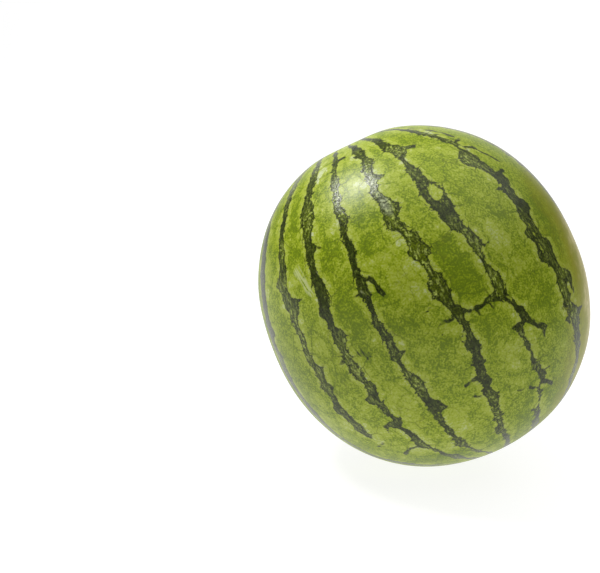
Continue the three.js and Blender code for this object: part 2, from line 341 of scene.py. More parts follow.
# %% Strokes: latitude, longitude, latitude, longitude, half-width at the start and at the end
STROKES = (
    (18.7, -39, 18.6, -36.6, 0.6, 0.15), (8, -41, 7.9, -39.6, 0.5, 0.2),
    (-5, -38.8, -4.9, -37.8, 0.5, 0.2), (32.3, -24.6, 31.6, -23.2, 0.9, 0.4),
    (-5, -29, -5.2, -31, 1.0, 0.3), (-31.2, -27, -31.2, -30.6, 1.5, 0.4),
    (-32, -29, -34, -30.5, 0.5, 0.2), (-44, -25, -44.2, -30, 1.1, 0.7),
    (-44.2, -30, -46.8, -36.5, 0.9, 0.4), (64.9, -11, 65.2, -6.3, 1.1, 1.0),
    (13.2, -14, 13, -17, 0.8, 0.1), (16.2, -10.6, 16.0, -8.4, 1.0, 1.4),
    (15.9, -8.4, 14.8, -7.8, 1.7, 1.1), (14.8, -7.8, 13.0, -7.2, 1.0, 1.0),
    (12.6, -7.1, 11.6, -6.6, 1.9, 1.8), (12.0, -6.7, 10.0, -6.9, 1.3, 0.3),
    (-8.8, -9.4, -9, -7.9, 0.8, 0.25), (-50, -9, -50.6, -11.8, 0.8, 0.25),
    (-29.8, -6.4, -31.5, -4.8, 1.6, 1.2), (-38, -39, -39.6, -44, 0.9, 0.2), (-5, 10.6, -5.6, 8, 0.7, 0.4),
    (-5.6, 8, -6.4, 4.8, 0.4, 0.2), (-26, 9.9, -27.2, 8, 1.5, 0.9), (-27.2, 8, -27.6, 4.8, 0.5, 0.2),
    (-33, 9.5, -32, 5.4, 0.5, 0.0), (-8.4, 5.4, -9.2, 3.8, 0.35, 0.15), (-0.1, 1.8, -0.2, 3.6, 0.15, 0.4),
    (-0.2, 3.6, 0.6, 5.2, 0.4, 0.15), (-14, 11, -13.4, 9.6, 0.5, 0.2), (-4.4, 13.8, -5.8, 16.6, 1.1, 1.0),
    (-5.8, 16.6, -5.7, 20, 1.0, 1.1), (-5.7, 20, -4.4, 24, 1.1, 1.6), (-4.4, 24, -4.0, 27, 1.6, 2.2),
    (-5.6, 18.6, -8.4, 18.8, 0.8, 0.25), (-5.4, 23, -7.2, 23.4, 0.8, 0.3),
    (-6, 26.5, -7.6, 27.6, 0.8, 0.3), (11.4, 30, 11.2, 32.4, 0.8, 0.25), (-15, 33.5, -18.5, 36, 1.6, 1.4),
    (-18.5, 36, -21.5, 39.8, 1.4, 1.8), (-21.5, 39.8, -25, 39.5, 1.6, 0.5),
    (-16.8, 28.4, -17, 31, 0.8, 1.2), (55.3, 29, 54.6, 34.4, 2.2, 1.2),
    (54.6, 34.4, 54.9, 36.6, 1.0, 0.3), (-36.2, 36, -35.6, 39.8, 1.2, 0.4),
    (-39.4, 36.5, -42.6, 41.4, 1.5, 0.7), (-41.3, 33, -39.2, 29, 1.0, 0.3),
    (-51.6, 33, -49.6, 30.6, 1.0, 0.4), (-38, 23.5, -38.2, 26, 0.3, 0.0), (25, 50.8, 25.1, 48, 0.7, 0.25),
    (30.2, 55.5, 30.4, 61, 1.6, 0.6), (55, 55, 54.8, 58.6, 0.8, 0.4), (48.2, 56, 48.5, 61.6, 0.9, 0.7),
    (44.2, 57, 43, 60.5, 1.1, 1.2), (43, 60.5, 39, 62, 1.2, 1.0), (39, 62, 34.6, 64, 1.0, 0.9),
    (66, 57, 58, 60.5, 0.5, 0.6), (58, 60.5, 51.4, 62.2, 0.6, 1.2), (-13, 60.8, -16.6, 60.8, 1.1, 0.7),
    (-17.4, 54, -19.6, 51.4, 1.6, 0.7), (-23.3, 52.2, -24.8, 54.6, 0.9, 1.2),
    (-23.2, 61, -23.2, 65.8, 1.6, 0.5), (-2, -22.8, -5.4, -21.8, -0.05, -0.2),
    (-3, -20.8, -6.8, -20.2, 0.0, -0.2), (-4.6, -19.2, -8.4, -19, -0.05, -0.2),
)

# %% Islands: latitude, longitude, height, width
ISLANDS = (
    (64, 1.8, 3.4, 1.6), (33.3, 25.7, 12.0, 6.6), (7, 51.6, 9.0, 2.0), (2, 51.6, 4.0, 2.0),
    (-14.6, 58.4, 6.0, 3.0), (-20.3, 54.4, 2.4, 3.0), (-41.6, 35.6, 3.4, 2.6), (45, 54.6, 3.0, 1.4),
)
print("strokes", len(STROKES), "islands", len(ISLANDS))

# %% [markdown]
# The far side has the same kind of stripes, grown by rule: each keeps near its own meridian,
# wanders a little, and juts out where no lobe presses on it. Every few rows a spur leaves it to one
# side. The draws are seeded, so the fruit is the same each time.

# %% Stripes of the far side
FAR_MERIDIANS = (86, 105, 124, 144, 164, 184, 204, 224, 244, 264)      # degrees east
FAR_SLANT = {86: -5, 264: -5}       # degrees east over SLANT_RISE degrees north
SLANT_RISE = 60
FAR_REACH = 83                      # degrees north and south
LATITUDE_STEP = 2.2
WANDERS = ((1.5, 2), (0.8, 5), (0.5, 11))       # typical size in degrees, waves to a full turn
HALF_WIDTHS = (1.5, 2.4)            # degrees
BREADTH_SWING = 0.3
BREADTH_WAVES = 6                   # to a full turn
JUT_SHAPE = 0.55                    # under 1, most rows jut out little and a few far
LEAST_SHRINK = 0.2
OPENING_POWER = 0.35                # how far the degrees open out where the meridians draw together
SPUR_ROWS = slice(8, 66, 7)
SPUR_RISE = 2.0                     # degrees
SPUR_REACHES = (3, 8)               # degrees
SPUR_HALF_WIDTHS = (0.7, 1.5)       # mm at the stripe
SPUR_TIP = 0.25                     # mm


def grown_stripe(meridian):
    """Outline rows: a middle that wanders by summed sines, and edges of half-width plus random juts."""
    rows = np.arange(FAR_REACH, -FAR_REACH, -LATITUDE_STEP)
    angles = np.radians(rows)
    wander = sum(rng.normal(0, size) * np.sin(angles * waves + rng.uniform(0, 2 * pi))
                 for size, waves in WANDERS)
    middle = meridian + FAR_SLANT.get(meridian, 0) * rows / SLANT_RISE + wander
    half_width = rng.uniform(*HALF_WIDTHS)
    breadth = 1 + BREADTH_SWING * np.sin(angles * BREADTH_WAVES + rng.uniform(0, 2 * pi))
    jut_west, jut_east = rng.gamma(JUT_SHAPE, 1.0, (2, len(rows)))
    opening = 1 / np.maximum(np.cos(angles), LEAST_SHRINK) ** OPENING_POWER
    west_edge = middle - (half_width * breadth + jut_west) * opening
    east_edge = middle + (half_width * breadth + jut_east) * opening
    return tuple(zip(rows, west_edge, east_edge))


def grown_spurs(stripe):
    """Strokes that leave a stripe's middle to a random side, at the rows of SPUR_ROWS."""
    spurs = []
    for lat, west_edge, east_edge in stripe[SPUR_ROWS]:
        side = rng.choice([-1, 1])
        middle = (west_edge + east_edge) / 2
        tip_lat = lat + rng.uniform(-SPUR_RISE, SPUR_RISE)
        tip_lon = middle + side * rng.uniform(*SPUR_REACHES)
        spurs.append((lat, middle, tip_lat, tip_lon, rng.uniform(*SPUR_HALF_WIDTHS), SPUR_TIP))
    return spurs


far_stripes = [grown_stripe(meridian) for meridian in FAR_MERIDIANS]
far_strokes = [spur for stripe in far_stripes for spur in grown_spurs(stripe)]
print("stripes on the far side", len(far_stripes), "spurs", len(far_strokes))

# %% [markdown]
# Distances are measured on the rind: a degree of latitude is the same length everywhere, and a
# degree of longitude shrinks towards the ends. A point's depth in a stripe is its distance to the
# nearer edge, made shorter where the edge runs aslant. The deepest of all the stripes counts, and
# islands take away from it. The strokes keep a depth of their own, which the material treats more
# gently. Outside the dark, a depth is below zero.

# %% Depth in the dark for each vertex
MM_PER_DEGREE = radians(1) * (WAIST_RADIUS + END_RADIUS) / 2
FAR_OUTSIDE = -60.0                 # mm, a depth to start from
STEEPEST_SLOPE = 2.0                # degrees of longitude, drawn in, for one of latitude
WOBBLE_REACH = 1.6                  # mm
WOBBLE_LENGTHS = (6.0, 16.0)        # mm

shrink = np.cos(np.radians(latitude))
wobble_across, wobble_up = (WOBBLE_REACH * (random_swell(outward, WOBBLE_LENGTHS) - 0.5)
                            for _ in range(2))


def east_of(lon):
    """Degrees of longitude from lon, the short way round."""
    return (east - lon + 180) % 360 - 180


def stripe_depth(rows):
    """Distance to the nearer edge of an outline, in mm, above zero inside it."""
    lat, west_edge, east_edge = np.array(rows[::-1], float).T
    centre = np.interp(latitude, lat, (west_edge + east_edge) / 2)
    offset = east_of(centre)
    depths = []
    for edge, side in ((west_edge, -1), (east_edge, 1)):
        reach = side * (np.interp(latitude, lat, edge) - centre)
        slope = np.interp(latitude, (lat[1:] + lat[:-1]) / 2, np.diff(edge) / np.diff(lat)) * shrink
        slope = np.clip(slope, -STEEPEST_SLOPE, STEEPEST_SLOPE)
        depths.append((reach - side * offset) * shrink / np.sqrt(1 + slope ** 2))
    ends = np.minimum(latitude - lat[0], lat[-1] - latitude)
    return np.minimum(np.minimum(*depths), ends) * MM_PER_DEGREE


def stroke_depth(lat0, lon0, lat1, lon1, start, end):
    """Half-width less the distance to a wavering segment, with the half-width going from start to end."""
    x = east_of(lon0) * shrink * MM_PER_DEGREE + wobble_across
    y = (latitude - lat0) * MM_PER_DEGREE + wobble_up
    run_x = (lon1 - lon0) * cos(radians(lat0)) * MM_PER_DEGREE
    run_y = (lat1 - lat0) * MM_PER_DEGREE
    t = np.clip((x * run_x + y * run_y) / (run_x ** 2 + run_y ** 2), 0, 1)
    return start + (end - start) * t - np.hypot(x - t * run_x, y - t * run_y)


def oval_distance(lat, lon, height, width):
    """How far out a vertex is from an oval's centre, where 1 is its rim."""
    up, across = (latitude - lat) * MM_PER_DEGREE, east_of(lon) * shrink * MM_PER_DEGREE
    return np.hypot(up / (height / 2), across / (width / 2))


stripe_mm = np.full(len(points), FAR_OUTSIDE)
for rows in FRONT_STRIPES + tuple(far_stripes):
    stripe_mm = np.maximum(stripe_mm, stripe_depth(rows))
for island in ISLANDS:
    stripe_mm = np.minimum(stripe_mm, (oval_distance(*island) - 1) * min(island[2:]) / 2)
spur_mm = np.full(len(points), FAR_OUTSIDE)
for stroke in STROKES + tuple(far_strokes):
    spur_mm = np.maximum(spur_mm, stroke_depth(*stroke))
print("share of the vertices in the dark:", round(float((np.maximum(stripe_mm, spur_mm) > 0).mean()), 3))

# %% [markdown]
# ## Pale spots, clouds and the ground spot
#
# The light rind isn't one green. Broad clouds are deeper or paler, and small round spots are pale
# where the skin healed. The pale cloud and the pale spot on the shoulder, where the lamp's highlight
# lies, are partly a painted highlight, and the deep clouds along the bottom on the right are painted
# shade. The clouds and spots are soft ovals with an amount, paler above zero and deeper below. The
# far side gets its own by seeded draws.

# %% Clouds: latitude, longitude, height, width, amount
CLOUDS = (
    (8, 18.7, 48, 24, -0.5), (5, 18.5, 20, 20, -0.3), (9, 62.5, 56, 18, -0.32), (3, 63, 26, 12, -0.1),
    (8, -19.5, 34, 18, -0.45), (-4.5, -19.5, 14, 9, -0.42), (26.5, -6, 15, 16, -0.5),
    (4, -7.8, 30, 8, -0.45), (-3, -2.5, 10, 20, -0.4), (-12.5, 5.5, 15, 10, -0.42),
    (-11.5, 17.5, 20, 11, -0.42), (-11, 45, 24, 22, -0.42), (29, -20, 30, 17, -0.28),
    (34, -37, 12, 14, -0.4), (33.5, -3, 12, 16, -0.25), (-54, -30, 15, 46, -0.5),
    (45, -70, 40, 10, -0.35), (56, 28, 14, 6, -0.4), (52, 58, 24, 5, -0.3), (20, 43, 20, 14, -0.2),
    # (48.5, -2) is a pale cloud, and partly a painted highlight under the lamp's highlight.
    (30, 36, 24, 18, -0.15), (-26, 42, 24, 16, -0.12), (46, -37, 30, 12, -0.2), (48.5, -2, 30, 24, 0.3),
    (14, 0.5, 44, 18, 0.36), (11, 4, 28, 10, 0.3), (20.5, -2.5, 7, 11, 0.4), (-26, -17.5, 46, 17, 0.48),
    (-38, -4, 26, 14, 0.4), (-33, -36, 12, 16, 0.42), (33, -57, 24, 9, 0.45), (26, -37, 14, 14, 0.36),
    (12, 36.5, 26, 16, 0.5), (1, 36, 20, 18, 0.3), (-25, 22, 20, 18, 0.34), (51, 34, 8, 12, 0.42),
    (46.5, 45.5, 10, 12, 0.4), (48, 14, 36, 14, 0.26), (61, -35, 26, 8, 0.4), (62, 31, 14, 6, 0.42),
    (43, 60, 8, 6, 0.4), (37, 58, 10, 8, 0.35), (-20, -52, 50, 30, 0.2), (-20, -33, 36, 18, 0.2),
    (0, -36, 18, 14, 0.25), (-40, 22, 26, 22, 0.2), (-8, 8.5, 10, 9, 0.3), (-30, -60, 56, 26, 0.25),
    # The last three, deep along the bottom on the right, are painted shade.
    (-42, -20, 56, 80, 0.2), (-46, 38, 44, 44, -0.3), (-58, 5, 26, 70, -0.3), (-50, 54, 30, 30, -0.3),
)

# %% Spots: latitude, longitude, height, width, amount
SPOTS = (
    # (47.6, 0) is a pale spot, and also the painted bright core of the lamp's highlight.
    (60.2, -22.4, 15, 7.4, 0.75), (47.6, 0, 8.4, 9.4, 0.7), (35.2, -18.8, 6.4, 8, 0.5),
    (13.5, 36, 15, 7, 0.26), (8.6, 38.6, 10, 6, 0.16), (8.5, 2.8, 7.6, 7.6, 0.14), (20.5, -3, 6, 9, 0.08),
    (24, 3, 9, 8, 0.2), (57.8, 56.2, 6, 5, 0.6), (50, -19.4, 5, 4.4, 0.35), (62, 2.4, 7, 6, 0.35),
    (49.5, 45.5, 7, 10, 0.3), (-42.5, -0.5, 9, 9, 0.3), (-42, -13, 9, 8, 0.25), (3, -5, 5, 5, 0.25),
    (-29, 25, 8, 8, 0.2), (28, 46, 8, 8, 0.2),
)
print("clouds", len(CLOUDS), "spots", len(SPOTS))

# %% Clouds and spots of the far side
FAR_SPOTS = 46
FAR_SPOT_REACH = 0.9                # sine of the latitude, so they are spread evenly over the rind
FAR_SPOT_EAST = (70, 290)           # degrees
FAR_SPOT_HEIGHTS = (4, 12)          # mm
FAR_SPOT_SHAPES = (0.7, 1.3)        # width to height
FAR_SPOT_AMOUNTS = (0.15, 0.5)
FAR_CLOUDS = 18
FAR_CLOUD_NORTH = (-55, 60)         # degrees
FAR_CLOUD_EAST = (75, 285)
FAR_CLOUD_HEIGHTS = (20, 48)        # mm
FAR_CLOUD_SHAPE = 0.7
FAR_CLOUD_AMOUNT = 0.3
CLOUD_CORE = 0.5
SPOT_CORE = 0.82
OVAL_RIM = 1.25

spot_north = np.degrees(np.arcsin(rng.uniform(-FAR_SPOT_REACH, FAR_SPOT_REACH, FAR_SPOTS)))
spot_east = rng.uniform(*FAR_SPOT_EAST, FAR_SPOTS)
spot_height = rng.uniform(*FAR_SPOT_HEIGHTS, FAR_SPOTS)
spot_width = spot_height * rng.uniform(*FAR_SPOT_SHAPES, FAR_SPOTS)
spot_amount = rng.uniform(*FAR_SPOT_AMOUNTS, FAR_SPOTS)
far_spots = tuple(zip(spot_north, spot_east, spot_height, spot_width, spot_amount))

cloud_north = rng.uniform(*FAR_CLOUD_NORTH, FAR_CLOUDS)
cloud_east = rng.uniform(*FAR_CLOUD_EAST, FAR_CLOUDS)
cloud_height = rng.uniform(*FAR_CLOUD_HEIGHTS, FAR_CLOUDS)
cloud_amount = rng.normal(0, FAR_CLOUD_AMOUNT, FAR_CLOUDS)
far_clouds = tuple(zip(cloud_north, cloud_east, cloud_height, cloud_height * FAR_CLOUD_SHAPE, cloud_amount))


def soft_ovals(ovals, core):
    """The sum of the ovals' amounts, each full in the core of its radius and fading to its soft rim."""
    return sum(oval[4] * (1 - smoothstep(oval_distance(*oval[:4]), core, OVAL_RIM)) for oval in ovals)


cloud = soft_ovals(CLOUDS + far_clouds, CLOUD_CORE)
spot = soft_ovals(SPOTS + far_spots, SPOT_CORE)
print("cloud amounts from", round(float(cloud.min()), 2), "to", round(float(cloud.max()), 2))

# %% [markdown]
# The side that lay on the field never greened: it is a creamy yellow oval with a soft edge, where
# the stripes fade. The field below is highest in its middle, less by 1 at its rim, and zero where
# the fruit is wholly green.

# %% Ground spot: latitude, longitude, height, width
GROUND_SPOT = (-16, 106, 136, 116)
GROUND_FADE = 1.75     # the oval distance where the fruit starts to turn yellow

ground = np.maximum(0, GROUND_FADE - oval_distance(*GROUND_SPOT))
print("ground spot holds", round(float((ground > GROUND_FADE - 1).mean()), 3), "of the vertices")

# %% [markdown]
# Wax lies thicker on some stretches of the stripes than on others, and there it greys them. On the
# stripes of the shoulder, where the lamp's highlight falls, the ovals also paint the silver-grey of
# that highlight into the colour. These are soft ovals again, greyer above zero and darker below.

# %% Wax, and painted highlight, over the stripes: latitude, longitude, height, width, amount
# The ovals from 36 to 50 north, about 12 west and 6 east, lie under the lamp's highlight, and there they
# paint it as pale silver-grey.
WAX_AND_HIGHLIGHT = (
    (13, 8.5, 66, 16, 0.7), (50, 5, 40, 18, 0.7), (50, -12, 40, 12, 0.7), (8, 27.5, 48, 14, 0.6),
    (33, 4, 20, 16, 0.3), (-8, -26.5, 44, 12, 0.45), (5, -43, 80, 14, 0.45), (23, -48, 22, 10, 0.5),
    (-14, -10.5, 40, 10, 0.35), (-11, 57.5, 20, 18, 0.4), (-40, 13, 50, 12, 0.45), (55, 26, 24, 14, 0.3),
    (40, 48, 14, 12, 0.5), (16, -28, 34, 12, -0.5), (20, -12.5, 44, 10, -0.5), (-18, 12.5, 22, 12, -0.1),
    (28, 25, 16, 14, -0.35), (20, 53, 44, 12, -0.25), (-10, 31, 24, 16, -0.4), (20, -64, 90, 14, -0.6),
    (-35, -24, 20, 14, -0.2), (43, 5.5, 30, 13, 0.6), (50, -12.5, 30, 9, 0.3), (36, 6.5, 20, 12, 0.8),
    (42, -11, 20, 7, 0.6),
)
WAX_AND_HIGHLIGHT_CORE = 0.4

wax_and_highlight = soft_ovals(WAX_AND_HIGHLIGHT, WAX_AND_HIGHLIGHT_CORE)
print("wax ovals", len(WAX_AND_HIGHLIGHT))

# %% [markdown]
# Handling and the vine's leaves leave fine pale scratches. They run in bundles: each bundle is a
# stroke like the spurs, and the material fills it with fine parallel lines, which all follow the
# first and longest bundle.

# %% Scratches: latitude, longitude, latitude, longitude, half-width at the start and at the end
SCRATCHES = (
    (27.6, -35.6, 19.2, -31.4, 3.0, 2.0), (25.4, -26, 20, -24.6, 1.0, 0.4),
    (19.4, -23.6, 16.6, -21.4, 0.9, 0.3), (13.4, -13.4, 10, -11.4, 0.8, 0.4),
    (31, 165, 22, 171, 1.6, 0.6), (5, 200, -6, 207, 1.4, 0.6),
)
scratch = np.full(len(points), FAR_OUTSIDE)
for stroke in SCRATCHES:
    scratch = np.maximum(scratch, stroke_depth(*stroke))
start_lat, start_lon, stop_lat, stop_lon = SCRATCHES[0][:4]
scratch_start = direction(np.radians(90 - start_lat), np.radians(start_lon))
scratch_stop = direction(np.radians(90 - stop_lat), np.radians(stop_lon))
scratch_heading = (turn @ Vector((scratch_stop - scratch_start).tolist())).normalized()
print("scratches run along", [round(value, 2) for value in scratch_heading])

# %% [markdown]
# Each field goes onto the mesh as an attribute, one number to a vertex, and the material reads it
# back by its name.

# %% Store the fields on the rind
FIELDS = {"stripe_depth": stripe_mm, "spur_depth": spur_mm, "cloud": cloud, "pale_spot": spot,
          "ground_spot": ground, "wax_and_highlight": wax_and_highlight, "scratch_depth": scratch,
          "stem_arc": stem_arc, "blossom_arc": blossom_arc}
for name, values in FIELDS.items():
    attribute = rind_mesh.attributes.new(name, "FLOAT", "POINT")
    attribute.data.foreach_set("value", values.astype(np.float32))
print("fields on the rind:", ", ".join(FIELDS))

# %% [markdown]
# ## The rind's finish
#
# A ripe rind is a thin hard skin under a film of natural wax: green, slightly translucent, with a
# soft sheen and no metal in it. Wax has an index of refraction near 1.44, and a thin dusty film of
# it reflects less, so it is 1.37 here. The roughness is about 0.4 on the light rind and 0.3 on the
# stripes. Everything else that the eye sees is colour, at four scales: clouds of 20 mm and more,
# lobes of 13 and 5 mm, a mottle of 2 mm and threads of 1 mm.

# %% Colour and node helpers
def linear(hex_colour):
    """An sRGB hex colour as the linear red, green, blue and full alpha that shaders use."""
    channels = [int(hex_colour[i:i + 2], 16) / 255 for i in (1, 3, 5)]
    return [c / 12.92 if c <= 0.04045 else ((c + 0.055) / 1.055) ** 2.4 for c in channels] + [1.0]


def start_material(name):
    """A material with an empty node tree, and a Principled shader joined to its output."""
    material = bpy.data.materials.new(name)
    material.use_nodes = True
    material.node_tree.nodes.clear()
    shader = material.node_tree.nodes.new("ShaderNodeBsdfPrincipled")
    output = material.node_tree.nodes.new("ShaderNodeOutputMaterial")
    material.node_tree.links.new(shader.outputs["BSDF"], output.inputs["Surface"])
    return material, shader


def add(tree, kind, inputs=(), output=0, **settings):
    """Adds a node, sets its settings, links or sets its inputs, and gives back one output."""
    node = tree.nodes.new("ShaderNode" + kind)
    for name, value in settings.items():
        setattr(node, name, value)
    for key, value in dict(inputs).items():
        if isinstance(value, bpy.types.NodeSocket):
            tree.links.new(value, node.inputs[key])
        else:
            node.inputs[key].default_value = value
    return node.outputs[output]


rind_finish, rind_shader = start_material("waxy_watermelon_rind")
rind_mesh.materials.append(rind_finish)
tree = rind_finish.node_tree
field = {name: add(tree, "Attribute", output="Fac", attribute_name=name) for name in FIELDS}
print("material", rind_finish.name)

# %% [markdown]
# Patterns are laid out in millimetres, so that a scale of 1 / 13 means one lobe in 13 mm. The place
# is first bent by a slow noise, because lobes that grew have no straight sides. For streaks and
# scratches it is drawn in along their own heading instead, which makes a round pattern long.

# %% Places for the patterns
BEND_SIZE = 9.0        # mm
BEND_REACH = 5.0
STREAK_STRETCH = 0.7   # the share of a length along the stem's axis that is drawn in
SCRATCH_STRETCH = 0.94

object_place = add(tree, "TexCoord", output="Object")
place = add(tree, "VectorMath", {0: object_place, "Scale": 1 / MM}, operation="SCALE")
bend = add(tree, "TexNoise", {"Vector": place, "Scale": 1 / BEND_SIZE, "Detail": 2.0}, "Color")
bend = add(tree, "VectorMath", {0: bend, 1: (0.5, 0.5, 0.5)}, operation="SUBTRACT")
bend = add(tree, "VectorMath", {0: bend, "Scale": BEND_REACH}, operation="SCALE")
bent_place = add(tree, "VectorMath", {0: place, 1: bend}, operation="ADD")


def stretched(heading, share):
    """The place less a share of its length along a heading, so that a pattern on it runs long that way."""
    along = add(tree, "VectorMath", {0: place, 1: heading}, "Value", operation="DOT_PRODUCT")
    along = add(tree, "Math", {0: along, 1: -share}, operation="MULTIPLY")
    along = add(tree, "VectorMath", {0: heading, "Scale": along}, operation="SCALE")
    return add(tree, "VectorMath", {0: place, 1: along}, operation="ADD")


streak_place = stretched(stem_axis, STREAK_STRETCH)
scratch_place = stretched(scratch_heading, SCRATCH_STRETCH)
print("place nodes", len(tree.nodes))

# %% [markdown]
# A Voronoi pattern gives the lobes: its distance is the swelling of each lobe, and its distance to
# the edge is the crease between two of them. Noise gives the patches, the mottle and the threads,
# and the middle value of a noise runs in wriggling lines.

# %% Lobes, creases and mottle
LOBE_SIZE = 13.0       # mm
SMALL_LOBE_SIZE = 5.2
CELL_SIZE = 8.0
PATCH_SIZE = 17.0
MOTTLE_SIZE = 2.4
THREAD_SIZE = 1.1
WRIGGLE_SIZE = 3.4
STREAK_SIZE = 1.5
SCRATCH_SIZE = 1.3

lobe = add(tree, "TexVoronoi", {"Vector": bent_place, "Scale": 1 / LOBE_SIZE, "Smoothness": 0.2},
           "Distance", feature="SMOOTH_F1")
crease = add(tree, "TexVoronoi", {"Vector": bent_place, "Scale": 1 / LOBE_SIZE},
             "Distance", feature="DISTANCE_TO_EDGE")
small_lobe = add(tree, "TexVoronoi",
                 {"Vector": bent_place, "Scale": 1 / SMALL_LOBE_SIZE, "Smoothness": 0.3},
                 "Distance", feature="SMOOTH_F1")
small_crease = add(tree, "TexVoronoi", {"Vector": bent_place, "Scale": 1 / SMALL_LOBE_SIZE},
                   "Distance", feature="DISTANCE_TO_EDGE")
cell = add(tree, "TexVoronoi", {"Vector": bent_place, "Scale": 1 / CELL_SIZE, "Smoothness": 0.12},
           "Color", feature="SMOOTH_F1")
mottle = add(tree, "TexNoise", {"Vector": place, "Scale": 1 / MOTTLE_SIZE, "Detail": 3.0, "Roughness": 0.6},
             "Fac")
thread = add(tree, "TexNoise", {"Vector": place, "Scale": 1 / THREAD_SIZE, "Detail": 1.0}, "Fac")
patch = add(tree, "TexNoise", {"Vector": place, "Scale": 1 / PATCH_SIZE, "Detail": 2.0}, "Fac")
streak = add(tree, "TexNoise", {"Vector": streak_place, "Scale": 1 / STREAK_SIZE, "Detail": 2.0}, "Fac")
scratch_lines = add(tree, "TexNoise", {"Vector": scratch_place, "Scale": 1 / SCRATCH_SIZE, "Detail": 1.0},
                    "Fac")
wriggle = add(tree, "TexNoise", {"Vector": bent_place, "Scale": 1 / WRIGGLE_SIZE, "Detail": 1.0}, "Fac")
off_line = add(tree, "Math", {0: wriggle, 1: 0.5}, operation="SUBTRACT")
off_line = add(tree, "Math", {0: off_line}, operation="ABSOLUTE")
print("pattern nodes", len(tree.nodes))

# %% [markdown]
# The depth in the dark came from the outlines. Here it gets its fine edge: the lobes push it in,
# creases draw it out into points, and threads make it feathery. A narrow step from light to dark
# then gives a sharp edge at any distance. From here on, a range holds the four inputs of a Map
# Range node: what lies between its first two numbers becomes what lies between the last two.

# %% The stripes' fine edge
EDGE_SOFTNESS = 0.5    # mm
EDGE_PUSHES = ((lobe, 0.2, 0.9, 0.6), (small_lobe, 0.2, 0.9, 0.75),     # pattern, from, to, mm
               (thread, 0.3, 0.7, 0.6), (mottle, 0.3, 0.7, 0.6))
EDGE_SETBACK = -0.12   # mm
CREASE_PULL = {1: 0.0, 2: 0.07, 3: 1.0, 4: 0.0}     # crease, to mm
SPUR_SHARE = 0.45      # how much of the push reaches the thin spurs
SPUR_MARGIN = 0.3      # mm
CORE_SETBACK = 0.85    # mm, deeper than this the dark is never broken
DARK_STEP = {1: -EDGE_SOFTNESS, 2: EDGE_SOFTNESS, 3: 0.0, 4: 1.0}       # depth in mm, to share

push = 0.0
for pattern, least, most, far_push in EDGE_PUSHES:
    shift = add(tree, "MapRange", {"Value": pattern, 1: least, 2: most, 3: -far_push, 4: far_push},
                clamp=False)
    push = add(tree, "Math", {0: push, 1: shift}, operation="ADD")
crease_pull = add(tree, "MapRange", {"Value": crease, **CREASE_PULL})
push = add(tree, "Math", {0: push, 1: crease_pull}, operation="ADD")
set_back = add(tree, "Math", {0: field["stripe_depth"], 1: EDGE_SETBACK}, operation="ADD")
stripe_reach = add(tree, "Math", {0: set_back, 1: push}, operation="ADD")
wide_spur = add(tree, "Math", {0: field["spur_depth"], 1: SPUR_MARGIN}, operation="ADD")
spur_reach = add(tree, "Math", {0: push, 1: SPUR_SHARE, 2: wide_spur}, operation="MULTIPLY_ADD")
reach = add(tree, "Math", {0: stripe_reach, 1: spur_reach}, operation="MAXIMUM")
core_reach = add(tree, "Math", {0: field["stripe_depth"], 1: CORE_SETBACK}, operation="SUBTRACT")
reach = add(tree, "Math", {0: reach, 1: core_reach}, operation="MAXIMUM")
dark = add(tree, "MapRange", {"Value": reach, **DARK_STEP}, interpolation_type="SMOOTHSTEP")
print("edge softness", EDGE_SOFTNESS, "mm")

# %% [markdown]
# The light rind runs from a deep yellow-green through a mid green to a pale one. What picks the
# tone is a sum, and the placed marks come first: clouds, whose edges follow the lobes, pale spots,
# a pale rim beside each stripe, and a paler band there, up to 7 mm wide and scalloped by the lobes.

# %% Tone from the placed marks
BASE_TONE = 0.442
CLOUD_WEIGHT = 0.13
SPOT_WEIGHT = 0.42
CLOUD_EDGE = ((lobe, 0.1, 0.8, -0.36), (small_lobe, 0.2, 0.9, -0.3), (mottle, 0.3, 0.7, 0.04))
DEEP_CLOUD = {1: -0.33, 2: -0.24, 3: -0.20, 4: 0.0}         # cloud, to tone
PALE_CLOUD = {1: 0.18, 2: 0.27, 3: 0.0, 4: 0.15}
PALE_RIM = {1: -3.2, 2: -0.7, 3: 0.0, 4: 0.1}       # depth in mm, to tone
SCALLOP_REACH = 8.0    # mm
SMALL_SCALLOP_REACH = 3.0
SCALLOP_STEP = {1: -9.0, 2: -8.2, 3: 0.0, 4: 1.0}   # depth in mm less the lobes, to share
SCALLOP_TONE = {1: 0.0, 2: 0.3, 3: 0.19, 4: 0.04}   # cloud, to tone: in a pale cloud it is less

cloud_edge = field["cloud"]
for pattern, least, most, swing in CLOUD_EDGE:
    shift = add(tree, "MapRange", {"Value": pattern, 1: least, 2: most, 3: -swing / 2, 4: swing / 2},
                clamp=False)
    cloud_edge = add(tree, "Math", {0: cloud_edge, 1: shift}, operation="ADD")
deep = add(tree, "MapRange", {"Value": cloud_edge, **DEEP_CLOUD})
pale = add(tree, "MapRange", {"Value": cloud_edge, **PALE_CLOUD})
rim = add(tree, "MapRange", {"Value": reach, **PALE_RIM})
scallop = add(tree, "Math", {0: lobe, 1: -SCALLOP_REACH, 2: field["stripe_depth"]},
              operation="MULTIPLY_ADD")
scallop = add(tree, "Math", {0: small_lobe, 1: -SMALL_SCALLOP_REACH, 2: scallop}, operation="MULTIPLY_ADD")
scallop = add(tree, "MapRange", {"Value": scallop, **SCALLOP_STEP})
scallop_tone = add(tree, "MapRange", {"Value": field["cloud"], **SCALLOP_TONE})
scallop = add(tree, "Math", {0: scallop, 1: scallop_tone}, operation="MULTIPLY")

